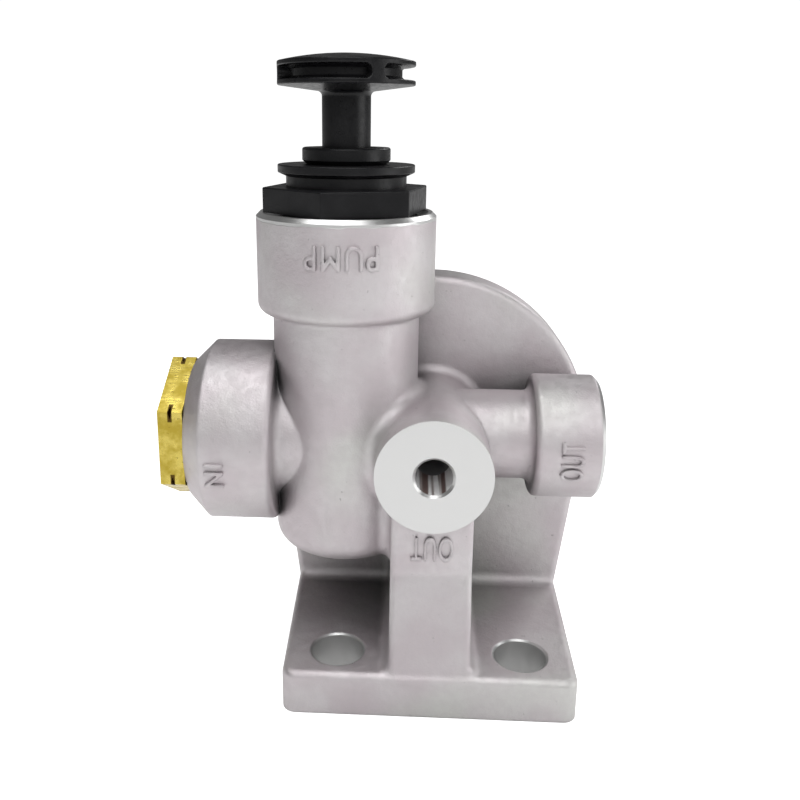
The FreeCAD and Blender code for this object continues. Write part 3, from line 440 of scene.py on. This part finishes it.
def lay_word(word, place):
    """Moves each point of a flat word with place(along, up, out), then joins it to the casting."""
    for vertex in word.data.vertices:
        vertex.co = Vector(place(*vertex.co)) * MM
    word.data.update()
    word.data.materials.append(finishes["cast_aluminium"])
    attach(word, "pump_body")
    print(word.name, "has", len(word.data.polygons), "faces")


# %% Lay the four words on the casting
CUP_RADIUS, INLET_RADIUS, OUTLET_RADIUS = 22.25, 23.4, 15.9
RIB_FACE = -2.5
pump_x, pump_y = pump_axis.x / MM, pump_axis.y / MM
port_y, port_z = port_axis.y / MM, port_axis.z / MM


def on_cup(along, up, out):
    """Upside down on the front of the cup."""
    turn = math.radians(1.0) - along / CUP_RADIUS
    reach = CUP_RADIUS + out
    return pump_x + reach * math.sin(turn), pump_y - reach * math.cos(turn), 110.9 - up


def on_inlet(along, up, out):
    """Reading down the front of the inlet boss."""
    turn = math.radians(-9.8) - along / INLET_RADIUS
    reach = INLET_RADIUS + out
    return -52.8 + up, port_y - reach * math.cos(turn), port_z + reach * math.sin(turn)


def on_outlet(along, up, out):
    """Reading up the front of the right outlet boss."""
    turn = math.radians(-4.7) + along / OUTLET_RADIUS
    reach = OUTLET_RADIUS + out
    return 34.0 - up, port_y - reach * math.cos(turn), port_z + reach * math.sin(turn)


def on_rib(along, up, out):
    """Upside down on the rib, under the front boss."""
    return -along, RIB_FACE - out, 41.2 - up


lay_word(raised_word("letters_pump", "PUMP", 17.2, 5.9), on_cup)
lay_word(raised_word("letters_in", "IN", 6.3, 4.8), on_inlet)
lay_word(raised_word("letters_right_out", "OUT", 10.4, 5.8), on_outlet)
lay_word(raised_word("letters_front_out", "OUT", 10.3, 6.4), on_rib)

# %% [markdown]
# Two ports are tapped. The solid model has their bores plain, so the thread is a ridge that runs
# round the wall as a helix. A small triangle is drawn once at the mouth, and the Screw modifier
# turns it round the axis while it moves in. Its two ends are then closed.

# %% Threads in the ports
def port_thread(name, mouth_x, inward, radius_mm, length_mm, body, slot_name):
    """A helical ridge on the wall of a bore along X. inward is -1 or 1."""
    pitch, height = 1.5, 0.42
    turns = int(length_mm / pitch)
    bpy.ops.object.select_all(action="DESELECT")
    outline = bpy.data.meshes.new(name)
    corners = [(-0.55, 0.05), (-0.12, -height), (0.12, -height), (0.55, 0.05)]
    places = [(mouth_x / MM + inward * (0.9 + a), 0, radius_mm + b) for a, b in corners]
    outline.from_pydata(places, [(k, (k + 1) % 4) for k in range(4)], [])
    thread = bpy.data.objects.new(name, outline)
    bpy.context.scene.collection.objects.link(thread)
    bpy.context.view_layer.objects.active = thread
    thread.select_set(True)
    screw = thread.modifiers.new("turns", "SCREW")
    screw.axis, screw.angle = "X", math.tau
    screw.screw_offset, screw.iterations = inward * pitch, turns
    screw.steps = screw.render_steps = 48
    bpy.ops.object.modifier_apply(modifier="turns")
    bpy.ops.object.mode_set(mode="EDIT")
    bpy.ops.mesh.select_all(action="SELECT")
    bpy.ops.mesh.remove_doubles(threshold=0.001)
    bpy.ops.mesh.select_all(action="DESELECT")
    bpy.ops.mesh.select_non_manifold()
    bpy.ops.mesh.edge_face_add()
    bpy.ops.mesh.select_all(action="SELECT")
    bpy.ops.mesh.normals_make_consistent(inside=False)
    bpy.ops.object.mode_set(mode="OBJECT")
    thread.data.transform(Matrix.Scale(MM, 4))
    thread.data.transform(Matrix.Translation((0, port_axis.y, port_axis.z)))
    bpy.ops.object.shade_smooth_by_angle(angle=math.radians(35))
    thread.data.materials.append(finishes[slot_name])
    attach(thread, body)
    print(name, "has", len(thread.data.polygons), "faces")


port_thread(
    "right_outlet_thread", port_mouth, -1, mounts["right_outlet"]["dims"]["r_mm"], 13,
    "pump_body", "cast_aluminium",
)
port_thread(
    "inlet_port_thread", fitting_face, 1, mounts["inlet_port"]["dims"]["r_mm"], 11.5,
    "pump_body", "brass",
)

# %% [markdown]
# A spring has one end on each of two pieces that part or close. Here each spring is given a
# mesh of its own.

# %% Springs get meshes of their own
SPRINGS = (
    ("return_spring", "plunger_press", 2, 0),
    ("inlet_valve_spring", "inlet_valve_lift", 0, 1),
    ("outlet_valve_spring", "outlet_valve_lift", 0, 1),
)
for node, joint, axis, fixed in SPRINGS:
    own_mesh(frame["nodes"][node])

# %% [markdown]
# The picture has a plain white ground. A white floor would throw much light up at the metal, so
# a part of its brightness is a glow that only camera rays and mirror rays see, and the mirrored
# part fades near the object, where a real table is in shade. Its shadow still shows as a faint
# grey round the foot. The world is white to the camera too, and a dim grey to the light, darker
# overhead, which keeps the upper faces calm.

# %% Floor
GROUND_GLOW, MIRROR_GLOW = 0.97, 0.52
SHADE_FROM, SHADE_TO = 20 * MM, 75 * MM


def studio_floor():
    """A level sheet just under the object, lit up for camera rays only."""
    bpy.ops.mesh.primitive_plane_add(size=8, location=(0, 0, -0.0002))
    floor = bpy.context.object
    floor.name = "floor"
    material, tree, shader, where = start_material("floor_paper", Roughness=1.0, Metallic=0.0)
    shader.inputs["Specular IOR Level"].default_value = 0.0
    paper = tint(tree, noise(tree, where, 60, 2), (0.78, 0.78, 0.78, 1), (0.80, 0.80, 0.80, 1))
    tree.links.new(paper, shader.inputs["Base Color"])
    rays = add(tree, "LightPath").outputs
    shader.inputs["Emission Color"].default_value = (1, 1, 1, 1)
    centre = (solid_low[1] + solid_high[1]) / 2
    axes = add(tree, "SeparateXYZ", Vector=where).outputs
    distance = ring_distance(tree, axes[0], axes[1], (0, centre))
    clear = ramp(tree, distance, SHADE_FROM, SHADE_TO)
    mirrored = calc(tree, "MULTIPLY", rays["Is Glossy Ray"], clear)
    mirrored = calc(tree, "MULTIPLY", mirrored, MIRROR_GLOW)
    seen = calc(tree, "MULTIPLY", rays["Is Camera Ray"], GROUND_GLOW)
    glow = calc(tree, "MAXIMUM", seen, mirrored)
    tree.links.new(glow, shader.inputs["Emission Strength"])
    floor.data.materials.append(material)


studio_floor()

# %% [markdown]
# Metal looks like what it mirrors, so the light comes from large soft panels: a broad one above
# the camera, one high overhead for the tops of the round bosses, a weaker one at the right that
# lights the turned edges, and a small one from behind for the rims.

# %% Lamps and world
def panel(name, place, size, watts, target=(-0.005, 0.01, 0.075)):
    """A soft rectangular lamp that faces the target. Metres."""
    bpy.ops.object.light_add(type="AREA", location=place)
    lamp = bpy.context.object
    lamp.name = name
    lamp.data.shape, lamp.data.size, lamp.data.size_y = "RECTANGLE", size[0], size[1]
    lamp.data.energy = watts
    lamp.rotation_euler = (Vector(target) - Vector(place)).to_track_quat("-Z", "Y").to_euler()


panel("front_panel", (0.06, -0.64, 0.58), (0.9, 0.45), 2.6)
panel("right_panel", (0.75, -0.10, 0.25), (0.5, 0.5), 1.6)
panel("top_panel", (-0.10, -0.14, 0.85), (0.7, 0.4), 3.0)
panel("rim_panel", (0.45, 0.50, 0.50), (0.3, 0.25), 1.2)
HORIZON_GREY, ZENITH_GREY = 0.20, 0.07
world = bpy.data.worlds.new("studio")
bpy.context.scene.world = world
world.use_nodes = True
sky = world.node_tree
seen = add(sky, "LightPath").outputs["Is Camera Ray"]
height = add(sky, "SeparateXYZ", Vector=add(sky, "TexCoord").outputs["Generated"]).outputs["Z"]
grey = ramp(sky, height, 0.0, 0.8, HORIZON_GREY, ZENITH_GREY)
strength = calc(sky, "MAXIMUM", grey, calc(sky, "MULTIPLY", seen, 1.05))
sky.links.new(strength, sky.nodes["Background"].inputs["Strength"])
sky.nodes["Background"].inputs["Color"].default_value = (1, 1, 1, 1)
bpy.context.scene.view_settings.view_transform = "Standard"

# %% [markdown]
# The camera stands where the photograph's did. Its place, aim and focal length come from fitting
# the outlines of the housing to the picture: it is close, about 0.2 m away and a little above
# the knob, so the nearer parts look clearly larger. A small shift stands for the crop.

# %% Camera
CAMERA_PLACE = Vector((-6.76, -187.8, 140.9)) * MM
CAMERA_YAW, CAMERA_PITCH, CAMERA_ROLL = -0.049, 0.254, 0.007
FOCAL_PIXELS, CENTRE_PIXELS, PICTURE = 845.15, (367.56, 340.65), 800
SENSOR = 36.0

forward = Vector((
    math.sin(CAMERA_YAW) * math.cos(CAMERA_PITCH),
    math.cos(CAMERA_YAW) * math.cos(CAMERA_PITCH),
    -math.sin(CAMERA_PITCH),
))
level = Vector((math.cos(CAMERA_YAW), -math.sin(CAMERA_YAW), 0))
upright = level.cross(forward)
right = level * math.cos(CAMERA_ROLL) + upright * math.sin(CAMERA_ROLL)
up = upright * math.cos(CAMERA_ROLL) - level * math.sin(CAMERA_ROLL)
bpy.ops.object.camera_add()
camera = bpy.context.object
camera.name = "photo_camera"
turned = Matrix((right, up, -forward)).transposed().to_4x4()
camera.matrix_world = Matrix.Translation(CAMERA_PLACE) @ turned
camera.data.sensor_width = SENSOR
camera.data.lens = FOCAL_PIXELS * SENSOR / PICTURE
camera.data.shift_x = (PICTURE / 2 - CENTRE_PIXELS[0]) / PICTURE
camera.data.shift_y = (CENTRE_PIXELS[1] - PICTURE / 2) / PICTURE
camera.data.clip_start = 0.01
bpy.context.scene.camera = camera
print("lens", round(camera.data.lens, 2), "mm")
